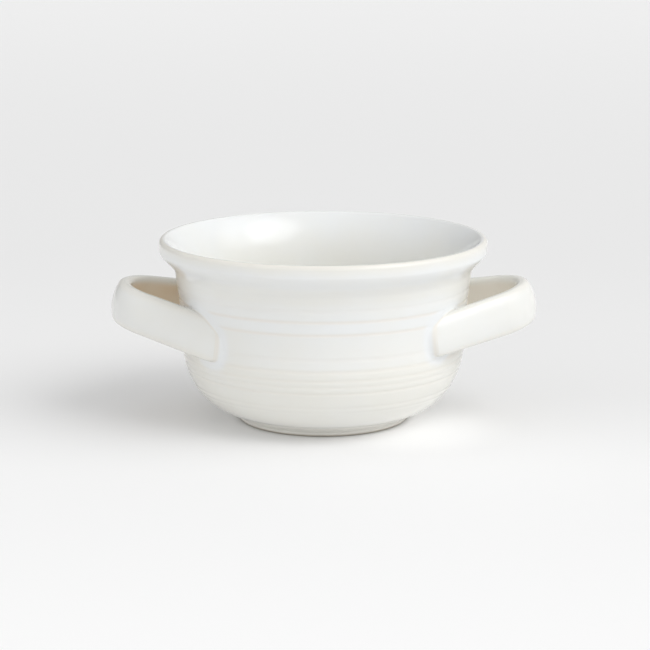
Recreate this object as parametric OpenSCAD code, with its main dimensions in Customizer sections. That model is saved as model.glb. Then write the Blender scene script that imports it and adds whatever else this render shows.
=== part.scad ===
// Two-handled soup crock of glazed stoneware: a footed round bowl with a flared lip,
// turned grooves round its wall and a strap loop luted on at each side.
// Millimetres. The origin is the centre of the foot's bearing face, +Z is up,
// X runs across the two handles and -Y is the front.

/* [Bowl] */
// Overall height of the crock, foot included
crock_h = 75.2; // [72:0.1:83]
// Outer radius of the neck, just under the lip
neck_r = 60.7; // [59:0.1:63]
// How far the lip flares out beyond the neck
lip_out = 6.3; // [4:0.1:9]
// Radius of the lip's rolled top edge
lip_edge_r = 1.8; // [1:0.1:2.2]
// Height of the lip's plain outer band, below its rolled edge
lip_band_h = 2.8; // [2:0.1:5]
// Height over which the lip flares out from the neck
lip_flare_h = 8.4; // [5:0.1:10]
// Height over which the inside flares out to the lip
inner_flare_h = 19.8; // [14:0.1:26]
// Outer radius of the wall where the belly ends
wall_r = 57.9; // [55:0.1:60]
// Height at which the belly becomes the wall
belly_h = 33; // [28:0.1:38]
// Outer radius of the flat underside
base_r = 35; // [33:0.1:40]
// Thickness of the wall
wall_t = 5; // [3.5:0.1:6]
// Thickness of the floor
floor_t = 5.4; // [4:0.1:8]
// Radius of the level part of the inner floor
floor_r = 28; // [15:0.5:32]

/* [Turned grooves] */
// Width of a groove across its mouth
groove_w = 2.4; // [1:0.1:3]
// Depth of a groove
groove_d = 0.5; // [0.2:0.05:0.9]

/* [Foot] */
// Height of the foot ring
foot_h = 3.6; // [2.5:0.1:5]
// Outer radius of the foot ring
foot_r = 34.9; // [33:0.1:35]
// Width of the foot ring
foot_w = 5.4; // [4:0.1:8]
// Rounding of the foot ring's lower edges
foot_edge_r = 0.8; // [0.4:0.1:1.5]

/* [Handles] */
// Clear depth between the wall and the inside of the loop
finger_gap = 23.5; // [20:0.1:28]
// Thickness of the strap
strap_t = 6.5; // [6:0.1:8]
// Height of the strap
strap_h = 16.2; // [13:0.1:19]
// Rounding of the strap's two long outer edges
strap_edge_r = 2.6; // [1.8:0.1:2.9]
// Rounding of the strap's two long inner edges
strap_inner_edge_r = 1.6; // [1:0.1:2.4]
// Radius of the crown on the strap's outer face
strap_crown_r = 25; // [20:0.5:60]
// Radius of the loop's outer bend, at the middle of the strap
loop_bend_r = 23; // [18:0.1:26]
// Angle by which the loop tilts up and outwards
loop_tilt = 12.5; // [0:0.5:16]
// Depth below the neck of the strap's middle, where it meets the wall
root_drop = 21.7; // [18:0.1:26]
// Angle from the handles' axis at which the strap's end lies on the wall
root_angle = 44.5; // [41:0.1:48]
// How far the strap's end stands out from the wall
root_proud = 1.5; // [1:0.1:2.5]
// Rounding of the strap's end
root_edge_r = 2.4; // [1:0.1:3]

/* [Slip joints] */
// Thickness of the clay slip under each end of a handle
slip_t = 0.8; // [0.4:0.1:1]
// How far the slip spreads round the end of a handle
slip_spread = 1.4; // [0.6:0.1:2.5]
// Thickness of the clay slip between the foot ring and the bowl
foot_slip_t = 0.4; // [0.2:0.05:0.8]
// How far the foot's slip stays back from the ring's edges
foot_slip_inset = 0.4; // [0:0.05:1]

/* [Hidden] */
$fn = 96;

// Heights of the grooves as shares of the crock's height, from the neck down
groove_height_shares = [0.746, 0.688, 0.618, 0.487, 0.422, 0.373, 0.338, 0.301, 0.218];
// Steps along each curve of the bowl's outline
belly_steps = 16;
wall_steps = 12;
flare_steps = 12;
// How strongly the wall bows out towards the neck
wall_bow_power = 1.6;
// How sharply the inside flares out towards the lip, and how far the lip's edge rolls over, in degrees
inner_flare_power = 2.5;
lip_roll = 135;
// Steps round each edge of the strap's section, and across its crown
edge_steps = 5;
crown_steps = 6;
// How far a leg laps back over the bend, and how much fuller it is there
leg_lap = 0.6;
leg_swell = 0.03;

base_z = foot_h + foot_slip_t;
floor_z = base_z + floor_t;
lip_r = neck_r + lip_out;
lip_z = crock_h - lip_edge_r;
neck_z = lip_z - lip_band_h - lip_flare_h;
groove_r = (pow(groove_w / 2, 2) + pow(groove_d, 2)) / (2 * groove_d);

glaze = "ivory";
bare_clay = "wheat";
slip_clay = "antiquewhite";

// A point of the belly's quarter ellipse, from the underside at 0 to the wall at 90 degrees
function belly_point(turn, middle_r, side_r, bottom_z) =
    [middle_r + (side_r - middle_r) * sin(turn), belly_h - (belly_h - bottom_z) * cos(turn)];

// A point of the wall's outer face, from the belly at 0 to the neck at 1
function wall_point(share) =
    [wall_r + (neck_r - wall_r) * pow(share, wall_bow_power), belly_h + (neck_z - belly_h) * share];

// Smooth step from 0 to 1, level at both ends
function ease(share) = share * share * (3 - 2 * share);

// Angle of the belly's quarter ellipse at a height
function belly_turn(z) = acos((belly_h - z) / (belly_h - base_z));

// A point on the plain outer face and the direction that faces out there
function outer_point(z) =
    z < belly_h ? belly_point(belly_turn(z), base_r, wall_r, base_z)
                : wall_point((z - belly_h) / (neck_z - belly_h));
function outer_normal(z) =
    z < belly_h ? unit([(belly_h - base_z) * sin(belly_turn(z)),
                        -(wall_r - base_r) * cos(belly_turn(z))]) : [1, 0];
function unit(v) = v / norm(v);

// The outer face from the underside up to the neck, moved out by a distance
function outer_outline(out = 0) = concat(
    [for (i = [0 : belly_steps])
        belly_point(90 * i / belly_steps, base_r + out, wall_r + out, base_z)],
    [for (i = [1 : wall_steps]) wall_point(i / wall_steps) + [out, 0]]);

// Where the lip's rolled edge ends, and how far the inside flares out to meet it
lip_roll_end = [lip_r - lip_edge_r + lip_edge_r * cos(lip_roll), lip_z + lip_edge_r * sin(lip_roll)];
inner_flare_out = lip_roll_end.x - wall_point(wall_share(lip_roll_end.y)).x + wall_t;
function wall_share(z) = (z - belly_h) / (neck_z - belly_h);

// The lip, from the neck out, over its rolled edge and down the flared inside
function lip_outline() = concat(
    [for (i = [1 : flare_steps])
        let (share = i / flare_steps)
        [neck_r + lip_out * ease(share), neck_z + lip_flare_h * share]],
    [for (i = [0 : flare_steps])
        let (turn = lip_roll * i / flare_steps)
        [lip_r - lip_edge_r + lip_edge_r * cos(turn), lip_z + lip_edge_r * sin(turn)]],
    [for (i = [1 : flare_steps])
        let (share = i / flare_steps, z = lip_roll_end.y - inner_flare_h * share)
        [wall_point(wall_share(z)).x - wall_t + inner_flare_out * pow(1 - share, inner_flare_power), z]]);

// The inner face from the foot of the flare down to the level floor
function inner_outline() = concat(
    [for (i = [1 : wall_steps])
        wall_point(wall_share(lip_roll_end.y - inner_flare_h) * (1 - i / wall_steps)) - [wall_t, 0]],
    [for (i = [1 : belly_steps])
        belly_point(90 - 90 * i / belly_steps, floor_r, wall_r - wall_t, floor_z)]);

// The rounds that cut the turned grooves, in the bowl's half section, no wider than their mouths
module groove_cuts() {
    for (share = groove_height_shares) {
        z = share * crock_h;
        facing = outer_normal(z);
        translate(outer_point(z)) rotate(atan2(facing.y, facing.x)) intersection() {
            translate([groove_r - groove_d, 0]) circle(groove_r);
            translate([-groove_d, -groove_w / 2]) square([2 * groove_d, groove_w]);
        }
    }
}

// The bowl's outside as a solid block up to the neck, moved out by a distance
module bowl_block(out = 0) {
    rotate_extrude() polygon(concat([[0, base_z]], outer_outline(out), [[0, neck_z]]));
}

// The same block with the turned grooves, as the slip finds it
module grooved_block() {
    rotate_extrude() difference() {
        polygon(concat([[0, base_z]], outer_outline(), [[0, neck_z]]));
        groove_cuts();
    }
}

module bowl_body() {
    color(glaze) rotate_extrude() difference() {
        polygon(concat([[0, base_z]], outer_outline(), lip_outline(), inner_outline(),
                       [[0, floor_z]]));
        groove_cuts();
    }
}

module foot_ring() {
    color(bare_clay) rotate_extrude() translate([foot_r - foot_w, 0]) {
        translate([0, foot_edge_r]) square([foot_w, foot_h - foot_edge_r]);
        translate([foot_edge_r, 0]) square([foot_w - 2 * foot_edge_r, foot_h]);
        for (x = [foot_edge_r, foot_w - foot_edge_r])
            translate([x, foot_edge_r]) circle(foot_edge_r);
    }
}

module foot_slip_joint() {
    color(slip_clay) rotate_extrude() translate([foot_r - foot_w + foot_slip_inset, foot_h])
        square([foot_w - 2 * foot_slip_inset, foot_slip_t]);
}

// Plan of the loop: the bend's centre, and the place where the strap's outer face ends
loop_reach = wall_r + finger_gap + strap_t;
bend_x = loop_reach - strap_t / 2 - loop_bend_r;
root_z = neck_z - root_drop;
root_r = outer_point(root_z).x + root_proud;
root_x = root_r * cos(root_angle);
root_y = root_r * sin(root_angle);
root_from_bend = norm([root_x - bend_x, root_y]);
// Half the angle that the bend turns through, so that each leg runs to its root
bend_half_angle = atan2(root_y, root_x - bend_x)
    - acos((loop_bend_r + strap_t / 2) / root_from_bend);
leg_l = sqrt(pow(root_from_bend, 2) - pow(loop_bend_r + strap_t / 2, 2));

// Points along an arc, from one angle to another
function arc_points(centre, r, start, end, steps) =
    [for (i = [0 : steps]) let (turn = start + (end - start) * i / steps) centre + r * [cos(turn), sin(turn)]];

// Centres of the crown and of the section's upper edges, and where the crown runs into the outer edge
crown_x = strap_t / 2 - strap_crown_r;
edge_y = strap_h / 2 - strap_edge_r;
edge_x = crown_x + sqrt(pow(strap_crown_r - strap_edge_r, 2) - pow(edge_y, 2));
crown_angle = atan2(edge_y, edge_x - crown_x);
inner_edge_x = strap_inner_edge_r - strap_t / 2;
inner_edge_y = strap_h / 2 - strap_inner_edge_r;

// The strap's section, grown all round: X points out of the loop, Y up
module strap_section(grow = 0) {
    edge = strap_edge_r + grow;
    inner_edge = strap_inner_edge_r + grow;
    polygon(concat(
        arc_points([edge_x, edge_y], edge, crown_angle, 90, edge_steps),
        arc_points([inner_edge_x, inner_edge_y], inner_edge, 90, 180, edge_steps),
        arc_points([inner_edge_x, -inner_edge_y], inner_edge, 180, 270, edge_steps),
        arc_points([edge_x, -edge_y], edge, 270, 360 - crown_angle, edge_steps),
        [for (i = [1 : crown_steps - 1])
            let (turn = crown_angle * (2 * i / crown_steps - 1))
            [crown_x, 0] + (strap_crown_r + grow) * [cos(turn), sin(turn)]]));
}

// Plan of one leg with its outer end rounded, begun a strap's thickness back into the bend
module leg_plan(grow = 0) {
    edge = root_edge_r + grow;
    side = strap_t / 2 + leg_swell + grow;
    end = leg_l + grow;
    translate([-2 * side, -strap_t]) square([3 * side, strap_t + end - edge]);
    translate([-2 * side, -strap_t]) square([3 * side - edge, strap_t + end]);
    translate([side - edge, end - edge]) circle(edge);
}

// One leg of the loop, running from the bend to its root on the wall
module strap_leg(grow = 0) {
    rotate([0, 0, bend_half_angle]) translate([loop_bend_r, 0, 0]) intersection() {
        translate([0, -leg_lap, 0]) rotate([-90, 0, 0])
            linear_extrude(leg_lap + leg_l + grow) strap_section(leg_swell + grow);
        translate([0, 0, -strap_h]) linear_extrude(2 * strap_h) leg_plan(grow);
    }
}

// Sets a shape drawn about the bend's centre in its tilted place at the right of the bowl
module at_right_loop() {
    translate([root_x, 0, root_z]) rotate([0, -loop_tilt, 0])
        translate([bend_x - root_x, 0, 0]) children();
}

module strap_loop() {
    color(glaze) difference() {
        at_right_loop() {
            rotate([0, 0, -bend_half_angle]) rotate_extrude(angle = 2 * bend_half_angle)
                translate([loop_bend_r, 0]) strap_section();
            strap_leg();
            mirror([0, 1, 0]) strap_leg();
        }
        bowl_block(slip_t);
    }
}

// The pad of slip under the rear leg of the right loop
module handle_slip() {
    color(slip_clay) difference() {
        intersection() {
            at_right_loop() strap_leg(slip_spread);
            bowl_block(slip_t);
        }
        grooved_block();
    }
}

module left_handle() { mirror([1, 0, 0]) strap_loop(); }

module right_handle() { strap_loop(); }

module left_front_slip_joint() { mirror([1, 0, 0]) mirror([0, 1, 0]) handle_slip(); }

module left_rear_slip_joint() { mirror([1, 0, 0]) handle_slip(); }

module right_front_slip_joint() { mirror([0, 1, 0]) handle_slip(); }

module right_rear_slip_joint() { handle_slip(); }

bowl_body();
foot_ring();
foot_slip_joint();
left_handle();
right_handle();
left_front_slip_joint();
left_rear_slip_joint();
right_front_slip_joint();
right_rear_slip_joint();
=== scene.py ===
"""Two-handled soup crock of glazed stoneware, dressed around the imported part.

Shapes are reckoned in millimetres and drawn in metres, in the part's own frame:
+Z is up, X runs across the two handles and -Y is the front.
"""

import logging
import math
from collections.abc import Iterator
from contextlib import contextmanager
from dataclasses import dataclass
from enum import Enum

import bpy
import numpy as np
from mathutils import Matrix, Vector
from mathutils.kdtree import KDTree


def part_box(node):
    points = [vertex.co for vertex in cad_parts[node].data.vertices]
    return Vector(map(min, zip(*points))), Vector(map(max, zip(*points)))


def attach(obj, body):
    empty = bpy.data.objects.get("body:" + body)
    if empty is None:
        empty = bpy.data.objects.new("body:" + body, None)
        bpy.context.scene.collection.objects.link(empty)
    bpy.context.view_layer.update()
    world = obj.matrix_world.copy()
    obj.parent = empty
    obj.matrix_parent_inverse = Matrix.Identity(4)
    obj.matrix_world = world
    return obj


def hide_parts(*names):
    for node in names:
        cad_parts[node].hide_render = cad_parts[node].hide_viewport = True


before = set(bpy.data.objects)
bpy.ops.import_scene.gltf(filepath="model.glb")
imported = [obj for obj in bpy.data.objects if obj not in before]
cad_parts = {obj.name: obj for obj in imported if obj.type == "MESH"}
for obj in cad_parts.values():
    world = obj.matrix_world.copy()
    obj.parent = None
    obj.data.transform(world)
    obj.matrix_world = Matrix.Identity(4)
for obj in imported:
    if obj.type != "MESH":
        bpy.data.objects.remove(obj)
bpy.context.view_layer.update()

MM = 0.001
MERGE_GAP = 0.001
MIRROR_GAP = 0.002
ON_PLANE = 1e-4
LEVEL = 1e-9
BODY = "root"
LOG = logging.getLogger("soup_crock")

Colour = tuple[float, float, float, float]
Pair = tuple[float, float]
Array = np.ndarray
Piece = bpy.types.Object
Finish = bpy.types.Material
Socket = bpy.types.NodeSocket
Feeds = dict[str | int, Socket | float | tuple[float, ...] | Vector]
WHITE: Colour = (1.0, 1.0, 1.0, 1.0)
UNIT: Pair = (0.0, 1.0)


class Side(Enum):
    """The side of the bowl that a handle is luted to, as the sign of X."""

    LEFT = -1
    RIGHT = 1


class End(Enum):
    """The end of a strap, as the sign of Y."""

    FRONT = -1
    REAR = 1


class Coat(Enum):
    """How the glaze lies, and where shade is painted in the thin glaze's warm colour, kept on each point of a
    glazed piece.
    """

    POOL = "glaze_pool"
    # The thin coat marks glaze run thin, and also painted shade in grooves, creases and inside the handles.
    THIN = "glaze_thin_and_shade"


def metres(*lengths: float) -> tuple[float, ...]:
    """Turn lengths in millimetres into metres."""
    return tuple(length * MM for length in lengths)


def take(piece: Piece) -> None:
    """Make a piece the only one selected, and the active one."""
    bpy.ops.object.select_all(action="DESELECT")
    piece.select_set(True)
    bpy.context.view_layer.objects.active = piece


@contextmanager
def editing(piece: Piece) -> Iterator[None]:
    """Open a piece alone in edit mode, and go back to object mode afterwards."""
    take(piece)
    bpy.ops.object.mode_set(mode="EDIT")
    yield
    bpy.ops.object.mode_set(mode="OBJECT")


def points_of(piece: Piece) -> Array:
    """Give a piece's points in millimetres, one row each."""
    flat = np.empty(len(piece.data.vertices) * 3)
    piece.data.vertices.foreach_get("co", flat)
    return flat.reshape(-1, 3) / MM


def pick(piece: Piece, chosen: Array) -> None:
    """Select chosen points of a piece, with the edges and faces that lie wholly among them."""
    mesh = piece.data
    mesh.vertices.foreach_set("select", chosen)
    mesh.edges.foreach_set("select", [all(chosen[i] for i in e.vertices) for e in mesh.edges])
    mesh.polygons.foreach_set("select", [all(chosen[i] for i in p.vertices) for p in mesh.polygons])


def draw_chain(name: str, outline: Array, closed: bool = False) -> Piece:
    """Draw an upright outline, rows of X and Z, as a chain of edges that may be closed."""
    points = np.insert(outline, 1, 0.0, axis=1)
    bpy.ops.mesh.primitive_plane_add(size=MM)
    piece = bpy.context.active_object
    piece.name = piece.data.name = name
    with editing(piece):
        bpy.ops.mesh.merge(type="CENTER")
        bpy.ops.transform.translate(value=tuple(points[0] * MM))
        for step in np.diff(points, axis=0) * MM:
            bpy.ops.mesh.extrude_vertices_move(TRANSFORM_OT_translate={"value": tuple(step)})
    if closed:
        placed = points_of(piece)
        ends = [np.linalg.norm(placed - points[i], axis=1).argmin() for i in (0, -1)]
        pick(piece, np.isin(np.arange(len(placed)), ends))
        with editing(piece):
            bpy.ops.mesh.edge_face_add()
    return piece


def spin_round(piece: Piece, steps: int) -> None:
    """Turn an outline, whose ends lie on the axis or on each other, once round and close it."""
    with editing(piece):
        bpy.ops.mesh.select_all(action="SELECT")
        bpy.ops.mesh.spin(steps=steps, angle=math.tau, center=(0, 0, 0), axis=(0, 0, 1))
        tidy_mesh()


def tidy_mesh() -> None:
    """In edit mode, merge doubled points and turn every face outwards."""
    bpy.ops.mesh.select_all(action="SELECT")
    bpy.ops.mesh.remove_doubles(threshold=MERGE_GAP * MM)
    bpy.ops.mesh.normals_make_consistent(inside=False)


def modify(piece: Piece, kind: str, **settings: object) -> None:
    """Add a modifier of a kind, with its settings, to a piece and apply it."""
    take(piece)
    bpy.ops.object.modifier_add(type=kind)
    modifier = piece.modifiers[-1]
    for name, value in settings.items():
        setattr(modifier, name, value)
    bpy.ops.object.modifier_apply(modifier=modifier.name)


def smooth(piece: Piece, degrees: float) -> None:
    """Shade a piece smooth except along edges sharper than an angle."""
    take(piece)
    bpy.ops.object.shade_smooth_by_angle(angle=math.radians(degrees))


def coat(piece: Piece, kind: Coat, amounts: Array) -> None:
    """Keep on each point of a piece how the glaze lies there, and any painted shade, as a share from 0 to 1.
    """
    kept = piece.data.attributes.new(kind.value, "FLOAT", "POINT")
    kept.data.foreach_set("value", np.clip(amounts, 0.0, 1.0).astype(np.float32))


def settle(piece: Piece, finish: Finish, slot: str, *nodes: str) -> None:
    """Give a piece its material and hide the part's nodes that it stands for; the slot is not used."""
    piece.data.materials.clear()
    piece.data.materials.append(finish)
    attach(piece, BODY)
    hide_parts(*nodes)
    LOG.info("%s: %d points, %d faces, for %s", piece.name, len(piece.data.vertices),
             len(piece.data.polygons), ", ".join(nodes))


def climb(value: Array, start: float, width: float) -> Array:
    """Step smoothly from 0 to 1 over a stretch that has a start and a width."""
    share = np.clip((value - start) / width, 0, 1)
    return share * share * (3 - 2 * share)


def bell(offset: Array) -> Array:
    """Give a smooth hump, 1 at no offset and 0 from an offset of 1 on."""
    return 0.5 + 0.5 * np.cos(np.pi * np.clip(np.abs(offset), 0, 1))


def bezier(share: Array, *pulls: Array) -> Array:
    """Follow a curve by shares of it, from the first pull to the last and drawn towards those between."""
    last = len(pulls) - 1
    return sum(math.comb(last, i) * share ** i * (1 - share) ** (last - i) * pull
               for i, pull in enumerate(pulls))


def arc(x: float, y: float, r: float, start: float, end: float, count: int) -> Array:
    """Trace a round edge about its middle, from one angle in degrees to another."""
    turn = np.radians(np.linspace(start, end, count))
    return np.column_stack([x + r * np.cos(turn), y + r * np.sin(turn)])


def rotate(x: Array, y: Array, angle: float) -> tuple[Array, Array]:
    """Turn flat places about the origin."""
    return x * math.cos(angle) - y * math.sin(angle), x * math.sin(angle) + y * math.cos(angle)


def unit(rows: Array) -> Array:
    """Bring every row to a length of 1."""
    return rows / np.linalg.norm(rows, axis=1, keepdims=True)


def lengths_along(points: Array) -> Array:
    """Give the length along a chain of points up to each of them."""
    return np.concatenate([[0], np.cumsum(np.linalg.norm(np.diff(points, axis=0), axis=1))])


def sample(at: Array, lengths: Array, rows: Array) -> Array:
    """Read rows of two values, kept at lengths along a chain, at other lengths."""
    return np.column_stack([np.interp(at, lengths, rows[:, i]) for i in (0, 1)])


class NodeBench:
    """The nodes of a material or a world, added and linked one after another."""

    MIX_SHARE, MIX_FIRST, MIX_SECOND, MIX_COLOUR = 0, 6, 7, 2

    def __init__(self, owner: Finish | bpy.types.World) -> None:
        """Turn on the nodes of a material or a world and take them up."""
        owner.use_nodes = True
        self.tree = owner.node_tree

    def feed(self, node: bpy.types.Node, feeds: Feeds) -> None:
        """Give inputs of a node, by name or number, their values, or link them to outputs."""
        for key, value in feeds.items():
            if isinstance(value, Socket):
                self.tree.links.new(value, node.inputs[key])
            else:
                node.inputs[key].default_value = value

    def add(self, kind: str, feeds: Feeds, **settings: str | bool) -> bpy.types.Node:
        """Add a node of a type, named without its prefix, with its feeds and other settings."""
        node = self.tree.nodes.new(f"ShaderNode{kind}")
        for name, value in settings.items():
            setattr(node, name, value)
        self.feed(node, feeds)
        return node

    def place(self, kind: str = "Object") -> Socket:
        """Give the place of each point, in a kind of coordinates."""
        return self.add("TexCoord", {}).outputs[kind]

    def part(self, vector: Socket, axis: str) -> Socket:
        """Take one coordinate of a vector."""
        return self.add("SeparateXYZ", {"Vector": vector}).outputs[axis]

    def lie(self, kind: Coat) -> Socket:
        """Read how the glaze lies from a piece's points."""
        return self.add("Attribute", {}, attribute_name=kind.value).outputs["Fac"]

    def noise(self, place: Socket, size: float, detail: float) -> Socket:
        """Make a cloudy pattern of a size and a detail."""
        return self.add("TexNoise", {"Vector": place, "Scale": size, "Detail": detail}).outputs["Fac"]

    def bump(self, height: Socket, strength: float, depth: float) -> Socket:
        """Turn a pattern into a relief of a depth in metres."""
        return self.add("Bump", {"Height": height, "Strength": strength, "Distance": depth}).outputs["Normal"]

    def remap(self, value: Socket, source: Pair, target: Pair, soft: bool = False) -> Socket:
        """Carry a value from the ends of one range to those of another, evenly or softly."""
        feeds = zip(("Value", "From Min", "From Max", "To Min", "To Max"), (value, *source, *target))
        kind = "SMOOTHSTEP" if soft else "LINEAR"
        return self.add("MapRange", dict(feeds), interpolation_type=kind).outputs["Result"]

    def reckon(self, operation: str, *terms: Socket | float, clamp: bool = False) -> Socket:
        """Reckon with numbers, and keep the result from 0 to 1 if it is clamped."""
        return self.add("Math", dict(enumerate(terms)), operation=operation, use_clamp=clamp).outputs["Value"]

    def measure(self, operation: str, *vectors: Socket | tuple[float, ...] | Vector) -> Socket:
        """Work out a number from vectors."""
        return self.add("VectorMath", dict(enumerate(vectors)), operation=operation).outputs["Value"]

    def blend(self, share: Socket, first: Socket | Colour, second: Socket | Colour) -> Socket:
        """Go from one colour to another by a share from 0 to 1."""
        feeds = {self.MIX_SHARE: share, self.MIX_FIRST: first, self.MIX_SECOND: second}
        return self.add("Mix", feeds, data_type="RGBA").outputs[self.MIX_COLOUR]

    def surface(self, feeds: Feeds) -> None:
        """Feed the surface of the material."""
        self.feed(self.tree.nodes["Principled BSDF"], feeds)


@dataclass(frozen=True)
class Glaze:
    """Gloss warm white glaze, bluish where it pools and warm where it runs thin; the warm colour is also
    painted shade in grooves, creases and inside the handles.
    """

    body: Colour = (0.825, 0.818, 0.77, 1.0)
    pooled: Colour = (0.828, 0.845, 0.852, 1.0)
    # Warm colour of glaze run thin, also laid as painted shade in grooves, creases and inside the handles.
    thinned_and_shaded: Colour = (0.76, 0.60, 0.415, 1.0)
    roughness: float = 0.08
    thinned_roughness: float = 0.12
    ior: float = 1.5
    cloud_size: float = 55.0
    cloud_detail: float = 4.0
    cloud_range: Pair = (0.3, 0.7)
    cloud_share: float = 0.16
    thin_cloud_range: Pair = (0.25, 0.75)
    thin_cloud_shares: Pair = (0.75, 1.15)
    peel_size: float = 420.0
    peel_detail: float = 1.0
    peel_depth: float = 0.00002
    peel_strength: float = 0.22

    def material(self) -> Finish:
        """Make the glaze's material, which reads how the glaze lies, and the painted shade, from each piece's
        points.
        """
        made = bpy.data.materials.new("white_glaze")
        bench = NodeBench(made)
        place = bench.place()
        clouds = bench.noise(place, self.cloud_size, self.cloud_detail)
        drift = bench.remap(clouds, self.cloud_range, (-self.cloud_share, self.cloud_share))
        pool = bench.reckon("ADD", bench.lie(Coat.POOL), drift, clamp=True)
        uneven = bench.remap(clouds, self.thin_cloud_range, self.thin_cloud_shares)
        # Warm thin glaze and painted shade, made uneven by the clouds.
        thin_and_shade = bench.reckon("MULTIPLY", bench.lie(Coat.THIN), uneven, clamp=True)
        peel = bench.noise(place, self.peel_size, self.peel_detail)
        bench.surface({
            "Base Color": bench.blend(thin_and_shade, bench.blend(pool, self.body, self.pooled), self.thinned_and_shaded),
            "Roughness": bench.remap(thin_and_shade, UNIT, (self.roughness, self.thinned_roughness)),
            "IOR": self.ior,
            "Normal": bench.bump(peel, self.peel_strength, self.peel_depth)})
        return made


@dataclass(frozen=True)
class BareClay:
    """Wiped pale stoneware of the foot: a thin wash of glaze above, bare sandy clay at its edge, darkened
    there as painted shade under the foot.
    """

    wash: Colour = (0.90, 0.885, 0.835, 1.0)
    # The bare clay's colours are darker than the clay itself, as painted shade where the foot meets the
    # floor.
    light: Colour = (0.56, 0.51, 0.43, 1.0)
    dark: Colour = (0.42, 0.37, 0.30, 1.0)
    bare_z: float = 0.3
    wash_z: float = 1.5
    ragged: float = 0.5
    cloud_size: float = 70.0
    cloud_detail: float = 6.0
    cloud_range: Pair = (0.3, 0.7)
    cloud_shares: Pair = (-0.1, 0.6)
    grain_size: float = 900.0
    grain_detail: float = 3.0
    grain_share: float = 0.35
    grain_depth: float = 0.00006
    grain_strength: float = 0.6
    roughness: float = 0.62
    wash_roughness: float = 0.22

    def material(self) -> Finish:
        """Make the clay's material, patterned by the place of each point."""
        made = bpy.data.materials.new("bare_clay")
        bench = NodeBench(made)
        place = bench.place()
        clouds = bench.noise(place, self.cloud_size, self.cloud_detail)
        grain = bench.noise(place, self.grain_size, self.grain_detail)
        cloudy = bench.remap(clouds, self.cloud_range, self.cloud_shares)
        sandy = bench.reckon("MULTIPLY_ADD", grain, self.grain_share, cloudy)
        height = bench.reckon("MULTIPLY_ADD", clouds, self.ragged * MM, bench.part(place, "Z"))
        washed = bench.remap(height, metres(self.bare_z, self.wash_z), UNIT, soft=True)
        bench.surface({
            "Base Color": bench.blend(washed, bench.blend(sandy, self.light, self.dark), self.wash),
            "Roughness": bench.remap(washed, UNIT, (self.roughness, self.wash_roughness)),
            "Normal": bench.bump(grain, self.grain_strength, self.grain_depth)})
        return made


@dataclass(frozen=True)
class StudioFloor:
    """Matt pale floor under the crock that glows as painted light, changing with depth in metres, with a
    painted pool of light beside the crock and painted shade round its foot.
    """

    colour: Colour = (0.74, 0.74, 0.74, 1.0)
    roughness: float = 0.85
    specular: float = 0.2
    reach: Pair = (-0.35, 2.65)
    # Painted glow of the floor at depths in metres.
    depth_glows: tuple[Pair, ...] = ((-0.30, 0.20), (-0.10, 0.16), (0.05, 0.09), (0.40, 0.06), (2.60, 0.11))
    # Painted shade: no glow within these radii round the foot.
    painted_shade_r: Pair = (33.5, 38.5)
    # Painted pool of light on the floor beside the crock.
    painted_light_at: tuple[float, float, float] = (36.0, -20.0, 0.0)
    painted_light_r: Pair = (46.0, 6.0)
    painted_light: float = 0.125

    def material(self) -> Finish:
        """Make the floor's material."""
        made = bpy.data.materials.new("studio_floor")
        bench = NodeBench(made)
        place = bench.place()
        ramp = bench.add("ValToRGB", {"Fac": bench.remap(bench.part(place, "Y"), self.reach, UNIT)})
        ramp.color_ramp.interpolation = "EASE"
        near, far = self.reach
        positions = [(depth - near) / (far - near) for depth, _ in self.depth_glows]
        stops = ramp.color_ramp.elements
        for position in positions[1:-1]:
            stops.new(position)
        for stop, position, (_, strength) in zip(stops, positions, self.depth_glows):
            stop.position = position
            stop.color = (strength, strength, strength, 1.0)
        # Painted pool of light beside the crock, and painted shade round the foot.
        beside = bench.measure("DISTANCE", place, metres(*self.painted_light_at))
        painted_light_spot = bench.remap(beside, metres(*self.painted_light_r), (0.0, self.painted_light), soft=True)
        clear = bench.remap(bench.measure("LENGTH", place), metres(*self.painted_shade_r), UNIT, soft=True)
        floor_glow = bench.reckon("ADD", ramp.outputs["Color"], painted_light_spot)
        bench.surface({
            "Base Color": self.colour,
            "Roughness": self.roughness,
            "Specular IOR Level": self.specular,
            "Emission Color": WHITE,
            "Emission Strength": bench.reckon("MULTIPLY", floor_glow, clear)})
        return made


@dataclass(frozen=True)
class Groove:
    """A turned groove round the outside of the bowl, with how thin the glaze runs in it; its warm, darker
    colour is partly painted shade in the groove.
    """

    height: float
    width: float
    depth: float
    thin: float


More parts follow.
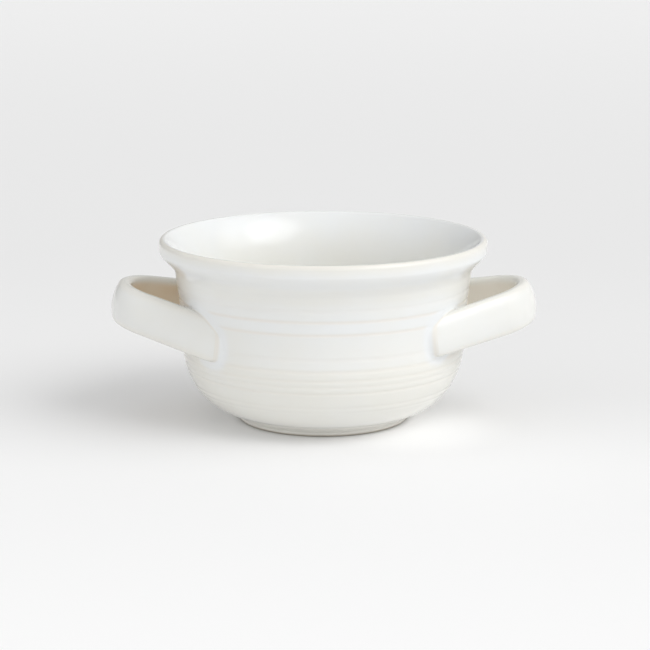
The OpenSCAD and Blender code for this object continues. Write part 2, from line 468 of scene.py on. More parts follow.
@dataclass
class BowlBody:
    """The thrown bowl: floor, belly, grooved wall, neck and flared lip in one wall.

    Pools are heights with how full the glaze lies there.
    """

    lip_r: float
    top_z: float
    base_z: float
    lip_edge_r: float = 1.8
    lip_roll: float = math.radians(135)
    lip_band_h: float = 2.8
    lip_flare_h: float = 8.4
    inner_flare_h: float = 19.8
    inner_flare_power: float = 2.5
    neck_r: float = 60.7
    wall_r: float = 57.9
    wall_bow_power: float = 1.6
    belly_h: float = 33.0
    base_r: float = 35.0
    wall_t: float = 5.0
    floor_t: float = 5.4
    floor_r: float = 28.0
    neck_ease: float = 1.0
    neck_pull: float = 4.2
    band_pull: float = 2.8
    band_swell: float = 0.06
    widest_band: float = 7.5
    # The last number of each groove is how thin the glaze runs in it; its warm, darker colour is partly
    # painted shade in the groove.
    grooves: tuple[Groove, ...] = (
        Groove(56.1, 2.6, 0.08, 0.03),
        Groove(51.7, 1.9, 0.09, 0.17),
        Groove(46.5, 1.9, 0.09, 0.17),
        Groove(36.5, 2.8, 0.09, 0.03),
        Groove(31.7, 2.3, 0.12, 0.06),
        Groove(28.0, 2.0, 0.09, 0.05),
        Groove(25.4, 1.7, 0.06, 0.03),
        Groove(22.6, 2.0, 0.13, 0.05),
        Groove(16.35, 2.4, 0.08, 0.02),
        Groove(13.95, 1.8, 0.03, 0.0),
    )
    groove_thin_share: float = 0.62
    lip_thin: float = 0.10
    lip_thin_turns: Pair = (1.2, 1.4)
    under_pool: float = 0.3
    outer_pools: tuple[Pair, ...] = (
        (4.0, 0.30), (6.5, 0.20), (9.0, 0.05), (31.0, 0.05), (33.5, 0.40), (45.2, 0.50), (47.4, 0.65),
        (48.4, 0.78), (49.9, 0.78), (51.0, 0.68), (52.8, 0.60), (56.0, 0.55), (58.5, 0.35), (60.0, 0.20),
        (64.0, 0.35), (66.0, 0.70), (71.0, 0.75), (72.5, 0.45), (74.0, 0.0))
    inner_pools: tuple[Pair, ...] = (
        (9.0, 0.20), (40.0, 0.20), (56.0, 0.25), (62.0, 0.35), (69.0, 0.75), (75.0, 0.90))
    root_pool: float = 0.95
    root_spread: float = 1.7
    root_zone_in: float = 3.0
    root_zone_z: Pair = (26.0, 58.0)
    under_radii: tuple[float, ...] = (0.0, 10.0, 20.0, 29.0)
    floor_radii: tuple[float, ...] = (21.0, 14.0, 7.0, 0.0)
    coarse_step: float = 1.3
    fine_step: float = 0.2
    closest_share: float = 0.45
    slope_step: float = 0.1
    belly_trace: int = 700
    wall_trace: int = 500
    flare_points: int = 25
    edge_points: int = 21
    inner_flare_points: int = 29
    inner_wall_points: int = 15
    inner_belly_points: int = 27
    spin_steps: int = 320
    core_stride: int = 12
    core_steps: int = 180
    dress_parts: int = 40
    sharp_angle: float = 60.0

    def __post_init__(self) -> None:
        """Work out the bowl's half section once, from its sizes."""
        self.lip_z = self.top_z - self.lip_edge_r
        self.neck_z = self.lip_z - self.lip_band_h - self.lip_flare_h
        self.floor_z = self.base_z + self.floor_t
        self.plain = self.plain_wall()
        self.wall, wall_thin_and_shade = self.grooved_wall()
        lip, lip_thin = self.lip_section()
        inside = self.inner_section()
        under = np.array([[radius, self.base_z] for radius in self.under_radii])
        self.outline = np.vstack([under, self.wall, lip, inside])
        heights = np.concatenate([self.wall[:, 1], lip[:, 1], inside[:, 1]])
        rising = np.arange(len(heights)) < len(self.wall) + np.argmax(lip[:, 1])
        outer, inner = (np.interp(heights, *zip(*pools)) for pools in (self.outer_pools, self.inner_pools))
        self.pools = np.concatenate([np.full(len(under), self.under_pool), np.where(rising, outer, inner)])
        self.thin_and_shade_shares = np.concatenate([np.zeros(len(under)), wall_thin_and_shade, lip_thin, np.zeros(len(inside))])

    def plain_wall(self) -> Array:
        """Trace the outer face closely from the underside to the neck, before its grooves."""
        turn = np.linspace(0, math.pi / 2, self.belly_trace)
        belly = np.column_stack([self.base_r + (self.wall_r - self.base_r) * np.sin(turn),
                                 self.belly_h - (self.belly_h - self.base_z) * np.cos(turn)])
        share = np.linspace(0, 1 - self.neck_ease / (self.neck_z - self.belly_h), self.wall_trace)[1:]
        upper = np.column_stack([self.wall_r + (self.neck_r - self.wall_r) * share ** self.wall_bow_power,
                                 self.belly_h + (self.neck_z - self.belly_h) * share])
        return np.vstack([belly, upper])

    def grooved_wall(self) -> tuple[Array, Array]:
        """Cut the turned grooves into the outer face, and let the bands between them swell.

        Returns:
            Radius and height of each point, and how thin the glaze runs there, which is partly painted shade
            in the grooves.
        """
        lengths = lengths_along(self.plain)
        middles = np.array([np.interp(g.height, self.plain[:, 1], lengths) for g in self.grooves])
        stations = [np.arange(0, lengths[-1], self.coarse_step), lengths[-1:]]
        for groove, middle in zip(self.grooves, middles):
            reach = groove.width / 2 + 2 * self.fine_step
            stations.append(np.arange(middle - reach, middle + reach, self.fine_step))
        along = np.unique(np.round(np.concatenate(stations), 3))
        along = along[np.concatenate([[True], np.diff(along) > self.closest_share * self.fine_step])]
        along = along[(along >= 0) & (along <= lengths[-1])]
        trace = sample(along, lengths, self.plain)
        run = sample(along, lengths, np.gradient(self.plain, lengths, axis=0))
        facing = unit(np.column_stack([run[:, 1], -run[:, 0]]))
        rise, thin = np.zeros(len(along)), np.zeros(len(along))
        for groove, middle in zip(self.grooves, middles):
            rise -= groove.depth * bell((along - middle) / (groove.width / 2))
            # Warm thin glaze in each groove, partly painted shade.
            reach = self.groove_thin_share * groove.width
            thin = np.maximum(thin, groove.thin * bell((along - middle) / reach))
        edges = np.sort(middles)
        for low, high in zip(edges, edges[1:]):
            if high - low < self.widest_band:
                rise += self.band_swell * bell((along - (low + high) / 2) / ((high - low) / 2))
        return trace + facing * rise[:, None], thin

    def lip_section(self) -> tuple[Array, Array]:
        """Trace the lip from the neck out, over its rolled edge and down the flared inside.

        Returns:
            Radius and height of each point, and how thin the glaze runs there.
        """
        low, run = self.plain[-1], self.plain[-1] - self.plain[-2]
        low_pull = low + run / np.linalg.norm(run) * self.neck_pull
        high = np.array([self.lip_r, self.neck_z + self.lip_flare_h])
        high_pull = high - np.array([0, self.band_pull])
        flare = bezier(np.linspace(0, 1, self.flare_points)[1:, None], low, low_pull, high_pull, high)
        turn = np.linspace(0, self.lip_roll, self.edge_points)
        top = np.column_stack([self.lip_r - self.lip_edge_r + self.lip_edge_r * np.cos(turn),
                               self.lip_z + self.lip_edge_r * np.sin(turn)])
        end_r, end_z = top[-1]
        down = np.linspace(0, 1, self.inner_flare_points)[1:]
        back_z = end_z - self.inner_flare_h * down
        flare_out = (end_r - self.inner_wall(end_z)) * (1 - down) ** self.inner_flare_power
        back = np.column_stack([self.inner_wall(back_z) + flare_out, back_z])
        middle, reach = self.lip_thin_turns
        thin = np.concatenate([
            np.zeros(len(flare)), self.lip_thin * bell((turn - middle) / reach), np.zeros(len(back))])
        return np.vstack([flare, top, back]), thin

    def inner_wall(self, height: Array) -> Array:
        """Give the radius of the inner wall at a height, before it flares."""
        share = (height - self.belly_h) / (self.neck_z - self.belly_h)
        return self.wall_r + (self.neck_r - self.wall_r) * share ** self.wall_bow_power - self.wall_t

    def inner_section(self) -> Array:
        """Trace the inner face from the foot of the flare down to the middle of the floor."""
        flare_foot = self.lip_z + self.lip_edge_r * math.sin(self.lip_roll) - self.inner_flare_h
        rows = np.linspace(flare_foot, self.belly_h, self.inner_wall_points)[1:]
        wall = np.column_stack([self.inner_wall(rows), rows])
        turn = np.linspace(math.pi / 2, 0, self.inner_belly_points)[1:]
        belly = np.column_stack([self.floor_r + (self.wall_r - self.wall_t - self.floor_r) * np.sin(turn),
                                 self.belly_h - (self.belly_h - self.floor_z) * np.cos(turn)])
        return np.vstack([wall, belly, [[radius, self.floor_z] for radius in self.floor_radii]])

    def belly(self, radius: float) -> tuple[float, float]:
        """Find the belly's height, and its rise per millimetre outwards, at a distance from the axis."""
        out, up = self.wall_r - self.base_r, self.belly_h - self.base_z
        share = (radius - self.base_r) / out
        level = math.sqrt(1 - share ** 2)
        return self.belly_h - up * level, up * share / (level * out)

    def radius(self, height: Array) -> Array:
        """Give the outer radius of the plain wall at a height."""
        return np.interp(height, self.plain[:, 1], self.plain[:, 0])

    def facing(self, places: Array) -> Array:
        """Give the unit vector that the plain wall faces beside each place."""
        low, high = (self.radius(places[:, 2] + step) for step in (-self.slope_step, self.slope_step))
        return unit(np.column_stack([unit(places[:, :2]), (low - high) / (2 * self.slope_step)]))

    def on_wall(self, places: Array) -> Array:
        """Move places straight in or out to the grooved wall."""
        radius = np.interp(places[:, 2], self.wall[:, 1], self.wall[:, 0])
        return np.column_stack([unit(places[:, :2]) * radius[:, None], places[:, 2]])

    def build(self) -> Piece:
        """Draw the half section and turn it round the axis."""
        bowl = draw_chain("bowl_body_glazed", self.outline)
        spin_round(bowl, self.spin_steps)
        smooth(bowl, self.sharp_angle)
        return bowl

    def core(self, depth: float) -> Piece:
        """Make a block of the bowl's outside, set in by a depth, to trim the straps with."""
        side = self.plain[::self.core_stride] - np.array([depth, 0.0])
        low, high = [0.0, self.base_z], [0.0, side[-1, 1]]
        block = draw_chain("bowl_core", np.vstack([low, side, high]))
        spin_round(block, self.core_steps)
        return block

    def dress(self, bowl: Piece, finish: Finish, roots: Array) -> None:
        """Lay the glaze on the bowl, with pools beside places round the handles' ends."""
        places = points_of(bowl)
        flat = np.column_stack([np.hypot(places[:, 0], places[:, 1]), places[:, 2]])
        nearest = np.concatenate([
            np.linalg.norm(part[:, None] - self.outline[None], axis=2).argmin(1)
            for part in np.array_split(flat, self.dress_parts)])
        pool, thin = self.pools[nearest], self.thin_and_shade_shares[nearest]
        tree = KDTree(len(roots))
        for index, place in enumerate(roots):
            tree.insert(place, index)
        tree.balance()
        low, high = self.root_zone_z
        outside = flat[:, 0] > self.wall_r - self.root_zone_in
        for index in np.flatnonzero(outside & (flat[:, 1] > low) & (flat[:, 1] < high)):
            gap = tree.find(places[index])[2]
            share = math.exp(-(gap / self.root_spread) ** 2)
            pool[index] += (self.root_pool - pool[index]) * share
            thin[index] *= 1 - share
        coat(bowl, Coat.POOL, pool)
        coat(bowl, Coat.THIN, thin)
        settle(bowl, finish, "white_glaze", "bowl_body")


@dataclass
class FootRing:
    """The ring of wiped clay that the crock stands on, and the fillet of slip that joins it to the bowl."""

    bowl: BowlBody
    outer_r: float
    ring_h: float
    seam_z: float
    width: float = 5.4
    edge_r: float = 0.8
    waist: float = 0.18
    slip_inset: float = 0.4
    fillet_waist: float = 0.162
    fillet_out: float = 7.0
    fillet_low: float = 1.2
    fillet_tip: float = 0.05
    fillet_toe: float = 0.1
    lap: float = 0.12
    edge_points: int = 7
    side_points: int = 9
    fillet_points: int = 15
    spin_steps: int = 256
    sharp_angle: float = 50.0

    def __post_init__(self) -> None:
        """Work out the ring's inner radius."""
        self.inner_r = self.outer_r - self.width

    def ring_section(self) -> Array:
        """Trace the ring: rounded lower edges, a slightly hollow side and a level top."""
        edge = self.edge_r
        low_in = arc(self.inner_r + edge, edge, edge, 180, 270, self.edge_points)
        low_out = arc(self.outer_r - edge, edge, edge, 270, 360, self.edge_points)
        rise = np.linspace(0, 1, self.side_points)[1:]
        side = np.column_stack([self.outer_r - self.waist * np.sin(math.pi * rise),
                                edge + (self.ring_h - edge) * rise])
        return np.vstack([low_in, low_out, side, [self.inner_r, self.ring_h]])

    def seam_section(self) -> Array:
        """Trace the slip: a hollow fillet from the ring's side to the belly, and a layer over the ring."""
        wall_r = self.outer_r - self.fillet_waist
        reach_r = wall_r + self.fillet_out
        reach_z, slope = self.bowl.belly(reach_r)
        bend_z = reach_z - slope * self.fillet_out
        ends = np.array([[wall_r, self.fillet_low], [wall_r, bend_z], [reach_r, reach_z]])
        fillet = bezier(np.linspace(0, 1, self.fillet_points)[:, None], *ends)
        base_r = self.bowl.base_r
        hidden_r = (reach_r - self.fillet_tip, (reach_r + base_r) / 2, base_r + self.fillet_toe)
        hidden = [[radius, self.bowl.belly(radius)[0] + self.lap] for radius in hidden_r]
        slip_r, side_r = self.inner_r + self.slip_inset, wall_r - self.lap
        inside = [[slip_r, self.seam_z + self.lap], [slip_r, self.ring_h],
                  [side_r, self.ring_h], [side_r, self.fillet_low - self.lap]]
        return np.vstack([fillet, hidden, inside])

    def build(self) -> list[Piece]:
        """Turn the ring and its seam of slip round the axis."""
        sections = {"foot_ring_bare": self.ring_section(), "foot_slip_seam": self.seam_section()}
        pieces = [draw_chain(name, section, True) for name, section in sections.items()]
        for piece in pieces:
            spin_round(piece, self.spin_steps)
            smooth(piece, self.sharp_angle)
        return pieces

    def dress(self, ring: Piece, seam: Piece, finish: Finish) -> None:
        """Give the ring and the seam their bare clay."""
        settle(ring, finish, "bare_clay", "foot_ring")
        settle(seam, finish, "bare_clay", "foot_slip_joint")


@dataclass(frozen=True)
class StrapCoat:
    """How the glaze lies on a strap and round its ends, and where shade is painted in its warm thin colour.

    Pools and thins are shares. A stretch is a start and a width, and a hump a middle and a half width.
    """

    outer_pool: float = 0.42
    outer_stretch: Pair = (-0.5, 2.5)
    # Inside the loop the warm thin colour is partly painted shade, lighter under the top edge and full lower
    # down.
    inner_stretch: Pair = (0.2, 2.2)
    inner_top: float = 0.15
    below_top: Pair = (0.6, 3.0)
    edge_pool_loss: float = 0.6
    edge_thin: float = 0.06
    edge_at: float = 0.44
    edge_reach: float = 2.4
    edge_hump: Pair = (1.2, 3.4)
    # Warm thin glaze with painted shade in the crease along the top of each strap end.
    tip_thin_and_shade: float = 0.22
    tip_stretch: Pair = (-6.0, 5.0)
    tip_up: Pair = (-2.0, 7.0)
    skirt_pool: float = 0.25
    skirt_thin: float = 0.12
    root_pools: Pair = (0.3, 1.0)
    root_pool_speed: float = 1.7
    # Warm thin glaze with painted shade in the fillet's rows next to the strap's end.
    root_thin_and_shade: float = 0.16
    root_hump: Pair = (0.15, 0.4)
    back_pools: tuple[float, ...] = (0.95, 0.9, 0.9, 0.25)
    back_thins: tuple[float, ...] = (0.0, 0.0, 0.0, 0.12)


@dataclass
class StrapHandle:
    """A strap loop luted to one side of the bowl by its two ends."""

    side: Side
    bowl: BowlBody
    finger_gap: float
    strap_t: float = 6.5
    strap_h: float = 16.9
    outer_edge_r: float = 2.4
    inner_edge_r: float = 2.0
    strap_crown_r: float = 18.5
    bend_r: float = 23.0
    tilt: float = math.radians(12.5)
    root_drop: float = 22.0
    root_angle: float = math.radians(44.5)
    root_proud: float = 1.5
    root_edge_r: float = 3.0
    extra_leg: float = 0.0
    top_sweep: float = 4.5
    top_sweep_l: float = 6.0
    low_sweep: float = 4.0
    low_sweep_l: float = 6.0
    low_taper: float = 0.0
    trim_depth: float = 0.7
    fillet_up: float = 1.7
    fillet_out: float = 2.3
    fillet_pull: float = 0.62
    fillet_lift: float = 0.015
    fillet_skirt: float = 0.8
    fillet_lap: float = 0.7
    fillet_dip: float = 0.08
    wall_depth: float = 0.6
    strap_depth: float = 0.5
    # Share of warm colour inside the loop, partly thin glaze and partly painted shade.
    inner_thin_and_shade: float = 0.7
    lie: StrapCoat = StrapCoat()
    corner_points: int = 13
    face_points: int = 12
    bend_steps: int = 44
    leg_steps: int = 12
    end_steps: int = 14
    dense_corner_points: int = 400
    dense_face_points: int = 800
    leg_probes: int = 900
    probe: float = 0.05
    fillet_rows: int = 12
    fillet_points: int = 288
    sharp_angle: float = 45.0
    fillet_sharp_angle: float = 50.0

    def __post_init__(self) -> None:
        """Work out the loop's plan from its sizes."""
        self.name = self.side.name.lower()
        self.root_z = self.bowl.neck_z - self.root_drop
        root_r = float(self.bowl.radius(np.array(self.root_z))) + self.root_proud
        self.root_x = root_r * math.cos(self.root_angle)
        root_y = root_r * math.sin(self.root_angle)
        self.bend_x = self.bowl.wall_r + self.finger_gap + self.strap_t / 2 - self.bend_r
        away = math.hypot(self.root_x - self.bend_x, root_y)
        outer = self.bend_r + self.strap_t / 2
        self.half_turn = math.atan2(root_y, self.root_x - self.bend_x) - math.acos(outer / away)
        self.leg_l = math.sqrt(away ** 2 - outer ** 2) + self.extra_leg

    def section(self, corner_points: int, face_points: int) -> Array:
        """Trace the strap's section: a rounded bar with a crown on its outer face.

        Args:
            corner_points: Points on each rounded edge.
            face_points: Points on each broad face.

        Returns:
            Points round the section, out of the loop and up, in millimetres.
        """
        half_t, half_h = self.strap_t / 2, self.strap_h / 2
        rise = half_h - self.outer_edge_r
        crown_x = half_t - self.strap_crown_r
        out = crown_x + math.sqrt((self.strap_crown_r - self.outer_edge_r) ** 2 - rise ** 2)
        lean = math.degrees(math.atan2(rise, out - crown_x))
        back, low = self.inner_edge_r - half_t, half_h - self.inner_edge_r
        inner = np.linspace(low, -low, face_points + 2)[1:-1]
        return np.vstack([
            arc(out, rise, self.outer_edge_r, lean, 90, corner_points),
            arc(back, low, self.inner_edge_r, 90, 180, corner_points),
            np.column_stack([np.full(face_points, -half_t), inner]),
            arc(back, -low, self.inner_edge_r, 180, 270, corner_points),
            arc(out, -rise, self.outer_edge_r, 270, 360 - lean, corner_points),
            arc(crown_x, 0, self.strap_crown_r, -lean, lean, face_points + 2)[1:-1]])

    def depth_left(self, along: Array) -> Array:
        """Say how much of the strap's thickness is left at a length along a leg."""
        into = np.clip((along - self.leg_l + self.root_edge_r) / self.root_edge_r, 0, 1)
        return 1 - self.root_edge_r / self.strap_t * (1 - np.sqrt(1 - into ** 2))

    def edges(self, along: Array) -> tuple[Array, Array]:
        """Find the heights of the lower and the upper edge over the strap's middle, along a leg."""
        def swept(drop: float, length: float) -> Array:
            """Round an edge off towards the leg's end."""
            share = np.clip((along - self.leg_l + length) / length, 0, 1)
            return drop * (1 - np.sqrt(1 - share ** 2))

        half = self.strap_h / 2
        lower = swept(self.low_sweep, self.low_sweep_l) + self.low_taper * along / self.leg_l - half
        return lower, half - swept(self.top_sweep, self.top_sweep_l)

    def on_leg(self, section: Array, along: Array) -> Array:
        """Place points of the rear leg of a right-hand loop.

        Args:
            section: Points round the section, one row each.
            along: Length along the leg for each point.

        Returns:
            Places in the part's frame, in millimetres.
        """
        closing = 1 - np.clip((along - self.leg_l) / self.strap_t, 0, 1)
        out = -self.strap_t / 2 + (section[:, 0] + self.strap_t / 2) * self.depth_left(along) * closing
        low, high = self.edges(along)
        up = (low + high) / 2 + section[:, 1] / self.strap_h * (high - low) * closing
        level, across = rotate(self.bend_r + out, np.minimum(along, self.leg_l), self.half_turn)
        x, z = rotate(level + self.bend_x - self.root_x, up, self.tilt)
        return np.column_stack([self.root_x + x, across, self.root_z + z])

    def pull_leg(self) -> None:
        """In edit mode, pull the drawn section out to a leg, round its end off and cap it."""
        swept_l = max(self.top_sweep_l, self.low_sweep_l)
        turn = np.linspace(0, math.pi / 2, self.end_steps + 1)[1:]
        straight = np.linspace(0, self.leg_l - swept_l, self.leg_steps + 1)
        stations = np.concatenate([straight, self.leg_l - swept_l + swept_l * np.sin(turn)])
        bpy.ops.mesh.select_all(action="SELECT")
        for low, high in zip(stations, stations[1:]):
            bpy.ops.mesh.extrude_edges_move(TRANSFORM_OT_translate={"value": (0, (high - low) * MM, 0)})
            thinner = self.depth_left(high) / self.depth_left(low)
            (foot, next_foot), (head, next_head) = self.edges(np.array([low, high]))
            lower = (next_head - next_foot) / (head - foot)
            level = abs(lower - 1) < LEVEL
            if thinner < 1 or not level:
                still = 0.0 if level else (next_foot - lower * foot) / (1 - lower)
                bpy.ops.transform.resize(value=(thinner, 1, lower),
                                         center_override=metres(self.bend_r - self.strap_t / 2, high, still))
        bpy.ops.mesh.edge_face_add()

    def build_strap(self, block: Piece) -> Piece:
        """Draw the section, pull out a leg, spin half the bend, mirror it and trim it with a block."""
        drawn = self.section(self.corner_points, self.face_points) + np.array([self.bend_r, 0.0])
        strap = draw_chain(f"{self.name}_handle_strap", drawn, True)
        with editing(strap):
            self.pull_leg()
        pick(strap, np.abs(points_of(strap)[:, 1]) < ON_PLANE)
        with editing(strap):
            bpy.ops.mesh.spin(steps=self.bend_steps, angle=self.half_turn, center=(0, 0, 0), axis=(0, 0, 1))
        strap.rotation_euler = (0, 0, self.half_turn)
        bpy.ops.object.transform_apply(location=False, rotation=True, scale=False)
        modify(strap, "MIRROR", use_axis=(False, True, False), use_mirror_merge=True,
               merge_threshold=MIRROR_GAP * MM)
        x, z = rotate(self.bend_x - self.root_x, 0, self.tilt)
        strap.rotation_euler = (0, -self.tilt, 0)
        strap.location = metres(self.root_x + x, 0, self.root_z + z)
        bpy.ops.object.transform_apply(location=True, rotation=True, scale=False)
        if self.side is Side.LEFT:
            strap.scale = (-1, 1, 1)
            bpy.ops.object.transform_apply(location=False, rotation=False, scale=True)
        with editing(strap):
            tidy_mesh()
        modify(strap, "BOOLEAN", operation="DIFFERENCE", solver="EXACT", object=block)
        smooth(strap, self.sharp_angle)
        return strap

    def wall_hits(self, ring: Array) -> Array:
        """Find how far along the leg the lines from points round the section meet the wall."""
        stations = np.linspace(0, self.leg_l + self.strap_t, self.leg_probes)
        hits = np.empty(len(ring))
        for index, point in enumerate(ring):
            way = self.on_leg(np.repeat(point[None], len(stations), 0), stations)
            gap = np.hypot(way[:, 0], way[:, 1]) - self.bowl.radius(way[:, 2])
            first = int(np.argmax(gap < 0))
            share = gap[first - 1] / (gap[first - 1] - gap[first])
            hits[index] = stations[first - 1] + share * (stations[first] - stations[first - 1])
        return hits

    def root_rows(self) -> Array:
        """Work out the fillet of slip and glaze round the rear end of a right-hand loop.

        Returns:
            Rows of places round the end: a skirt on the strap, the fillet, and its hidden back.
        """
        dense = self.section(self.dense_corner_points, self.dense_face_points)
        loop = np.vstack([dense, dense[:1]])
        lengths = lengths_along(loop)
        ring = sample(np.linspace(0, lengths[-1], self.fillet_points + 1)[:-1], lengths, loop)
        hits = self.wall_hits(ring)
        strap_at = hits - self.fillet_up
        meet, strap_edge, skirt, ahead, behind = (self.on_leg(ring, along) for along in (
            hits, strap_at, strap_at - self.fillet_skirt, strap_at + self.probe, strap_at - self.probe))
        run = unit(ahead - behind)
        around = np.roll(strap_edge, -1, axis=0) - np.roll(strap_edge, 1, axis=0)
        strap_out = unit(np.cross(run, around))
        middle = self.on_leg(np.zeros_like(ring), strap_at)
        strap_out *= np.sign(np.sum(strap_out * (strap_edge - middle), axis=1, keepdims=True))
        wall_out = self.bowl.facing(meet)
        trend = np.roll(meet, -2, axis=0) - np.roll(meet, 2, axis=0)
        away = unit(np.cross(wall_out, trend))
        away *= np.sign(np.sum(away * (meet - meet.mean(axis=0))))
        wall_edge = self.bowl.on_wall(meet + away * self.fillet_out)
        beyond = self.bowl.on_wall(meet + away * (self.fillet_out + self.fillet_lap))
        first = strap_edge + strap_out * self.fillet_lift
        bend_in = first + run * self.fillet_up * self.fillet_pull
        bend_out = wall_edge - away * self.fillet_out * self.fillet_pull
        share = np.linspace(0, 1, self.fillet_rows)[:, None, None]
        return np.concatenate([
            [skirt + strap_out * self.fillet_lift / 2],
            bezier(share, first, bend_in, bend_out, wall_edge),
            [beyond - wall_out * self.fillet_dip, beyond - wall_out * self.wall_depth,
             meet - wall_out * self.wall_depth, skirt - strap_out * self.strap_depth]])

    def root_coat(self) -> dict[Coat, Array]:
        """Say how the glaze lies on each row of a fillet, with painted shade in the crease by the strap's
        end, as shares for each kind of coat.
        """
        lie, share = self.lie, np.linspace(0, 1, self.fillet_rows)
        least, most = lie.root_pools
        pools = least + (most - least) * climb(share * lie.root_pool_speed, *UNIT)
        middle, reach = lie.root_hump
        thin_and_shade_shares = lie.root_thin_and_shade * bell((share - middle) / reach)
        return {
            Coat.POOL: np.array([lie.skirt_pool, *pools, *lie.back_pools]),
            Coat.THIN: np.array([lie.skirt_thin, *thin_and_shade_shares, *lie.back_thins])}

    def build_root(self, end: End) -> tuple[Piece, Array]:
        """Pull a ring out row by row and press it round one end of the strap.

        Args:
            end: Which end.

        Returns:
            The fillet, and places along its edge on the wall.
        """
        rows = self.root_rows() * np.array([self.side.value, end.value, 1.0])
        count = self.fillet_points
        bpy.ops.mesh.primitive_circle_add(vertices=count, radius=1, fill_type="NOTHING")
        fillet = bpy.context.active_object
        fillet.name = fillet.data.name = f"{self.name}_{end.name.lower()}_root_fillet"
        with editing(fillet):
            bpy.ops.mesh.select_all(action="SELECT")
            for _ in rows[1:]:
                bpy.ops.mesh.extrude_edges_move(TRANSFORM_OT_translate={"value": (0, 0, 1)})
        placed = points_of(fillet) * MM
        row = np.rint(placed[:, 2]).astype(int)
        step = np.rint(np.arctan2(placed[:, 1], placed[:, 0]) / math.tau * count).astype(int) % count
        pick(fillet, (row == 0) | (row == len(rows) - 1))
        with editing(fillet):
            bpy.ops.mesh.bridge_edge_loops()
        fillet.data.vertices.foreach_set("co", (rows[row, step] * MM).ravel())
        fillet.data.update()
        with editing(fillet):
            tidy_mesh()
        smooth(fillet, self.fillet_sharp_angle)
        for kind, amounts in self.root_coat().items():
            coat(fillet, kind, amounts[row])
        return fillet, rows[self.fillet_rows]

    def lay_coat(self, strap: Piece) -> None:
        """Lay the glaze on the strap: warm on its edges; warm inside the loop and at the top of its ends,
        partly as painted shade; fuller on its outer face.
        """
        lie = self.lie
        places = points_of(strap) * np.array([self.side.value, 1, 1])
        level, up = rotate(places[:, 0] - self.root_x, places[:, 2] - self.root_z, -self.tilt)
        level, across = level + self.root_x - self.bend_x, np.abs(places[:, 1])
        straight, along = rotate(level, across, -self.half_turn)
        on_leg = np.arctan2(across, level) > self.half_turn
        out = np.where(on_leg, straight, np.hypot(level, across)) - self.bend_r
        middle, reach = lie.edge_hump
        edge = (bell((np.abs(up) - lie.edge_at * self.strap_h) / lie.edge_reach)
                * bell((out - middle) / reach))
        # Warm thin glaze and painted shade along the top of the strap's end.
        tip = climb(along - self.leg_l, *lie.tip_stretch) * climb(up, *lie.tip_up)
        # Painted shade inside the loop: lighter under the top edge, full lower down, in the thin glaze's warm
        # colour.
        lower = climb(self.strap_h / 2 - up, *lie.below_top)
        inward = climb(-out, *lie.inner_stretch)
        inner = self.inner_thin_and_shade * inward * (lie.inner_top + (1 - lie.inner_top) * lower)
        full = lie.outer_pool * climb(out, *lie.outer_stretch)
        coat(strap, Coat.POOL, full * (1 - lie.edge_pool_loss * edge))
        coat(strap, Coat.THIN, np.maximum(inner, np.maximum(lie.edge_thin * edge, lie.tip_thin_and_shade * tip)))

    def build(self, block: Piece, finish: Finish) -> Array:
        """Build and glaze the strap and its fillets, and give places along their edges on the wall."""
        strap = self.build_strap(block)
        self.lay_coat(strap)
        settle(strap, finish, "white_glaze", f"{self.name}_handle")
        edges = []
        for end in End:
            fillet, edge = self.build_root(end)
            settle(fillet, finish, "white_glaze", f"{self.name}_{end.name.lower()}_slip_joint")
            edges.append(edge)
        return np.vstack(edges)


@dataclass(frozen=True)
class Glow:
    """A soft round patch of light, or of shade, in the studio around the crock; its angles are degrees."""

    azimuth: float
    elevation: float
    core: float
    edge: float
    strength: float

    def direction(self) -> Vector:
        """Give the unit vector that points to the middle of the patch."""
        turn, rise = math.radians(self.azimuth), math.radians(self.elevation)
        return Vector((math.cos(rise) * math.cos(turn), math.cos(rise) * math.sin(turn), math.sin(rise)))

    def spread(self) -> Pair:
        """Give the cosines of the angles at which the patch ends and is full."""
        return math.cos(math.radians(self.edge)), math.cos(math.radians(self.core))


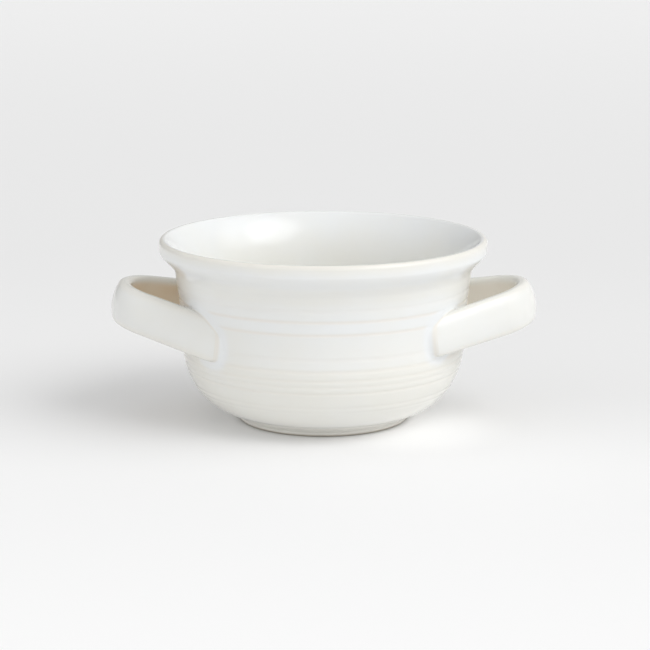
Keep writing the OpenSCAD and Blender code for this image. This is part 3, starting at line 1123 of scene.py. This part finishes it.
@dataclass
class Studio:
    """Pale floor, soft light and the camera at the photograph's angle."""

    aim: tuple[float, float, float] = (0.7, 0.0, 38.27)
    distance: float = 900.0
    elevation: float = math.radians(12.16)
    lens: float = 121.1
    sensor: float = 36.0
    near_clip: float = 0.01
    floor_size: float = 16.0
    fill: float = 0.625
    glows: tuple[Glow, ...] = (
        Glow(-38, 46, 3, 25, 3.1),
        Glow(-10, 40, 4, 28, 1.5),
        Glow(-34, 18, 8, 32, 0.22),
        Glow(-148, 24, 8, 45, 0.38),
        Glow(118, 18, 12, 34, -0.31),
        Glow(0, 85, 10, 40, 0.14),
        Glow(50, 25, 10, 45, 0.11),
    )

    def light(self) -> None:
        """Light the studio from all round, with the glows laid over the even fill."""
        world = bpy.data.worlds.new("studio")
        bpy.context.scene.world = world
        bench = NodeBench(world)
        place = bench.place("Generated")
        total = self.fill
        for glow in self.glows:
            nearness = bench.measure("DOT_PRODUCT", place, glow.direction())
            amount = bench.remap(nearness, glow.spread(), (0.0, glow.strength), soft=True)
            total = bench.reckon("ADD", total, amount)
        bench.feed(bench.tree.nodes["Background"], {"Color": WHITE, "Strength": total})

    def build(self, finish: Finish) -> None:
        """Lay the floor, light the studio and set up the camera."""
        bpy.ops.mesh.primitive_plane_add(size=self.floor_size)
        floor = bpy.context.active_object
        floor.name = "studio_floor"
        floor.data.materials.append(finish)
        self.light()
        back = Vector((0, -math.cos(self.elevation), math.sin(self.elevation)))
        bpy.ops.object.camera_add(location=(Vector(self.aim) + back * self.distance) * MM)
        camera = bpy.context.active_object
        camera.rotation_euler = back.to_track_quat("Z", "Y").to_euler()
        camera.data.lens = self.lens
        camera.data.sensor_width = self.sensor
        camera.data.clip_start = self.near_clip
        bpy.context.scene.camera = camera
        bpy.context.scene.view_settings.view_transform = "Standard"


def main() -> None:
    """Build the crock piece by piece, then the studio round it."""
    logging.basicConfig(level=logging.INFO, format="%(name)s %(message)s")
    low, high = (np.array(corner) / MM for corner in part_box("bowl_body"))
    _, foot_high = (np.array(corner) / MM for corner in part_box("foot_ring"))
    glaze, clay = Glaze().material(), BareClay().material()
    bowl = BowlBody(lip_r=float(high[0]), top_z=float(high[2]), base_z=float(low[2]))
    body = bowl.build()
    block = bowl.core(StrapHandle.trim_depth)
    # The left loop's inner face takes more painted shade than the right's.
    handles = (
        StrapHandle(Side.LEFT, bowl, finger_gap=23.2, extra_leg=3.2, top_sweep=7.4, top_sweep_l=11.0,
                    low_sweep=4.8, low_sweep_l=9.0, low_taper=-0.8, inner_thin_and_shade=0.84),
        StrapHandle(Side.RIGHT, bowl, finger_gap=23.7, top_sweep=2.6, top_sweep_l=4.5, low_taper=1.2,
                    inner_thin_and_shade=0.34))
    roots = np.vstack([handle.build(block, glaze) for handle in handles])
    bpy.data.objects.remove(block)
    bowl.dress(body, glaze, roots)
    foot = FootRing(bowl, outer_r=float(foot_high[0]), ring_h=float(foot_high[2]), seam_z=float(low[2]))
    foot.dress(*foot.build(), clay)
    Studio().build(StudioFloor().material())


if __name__ == "__main__":
    main()
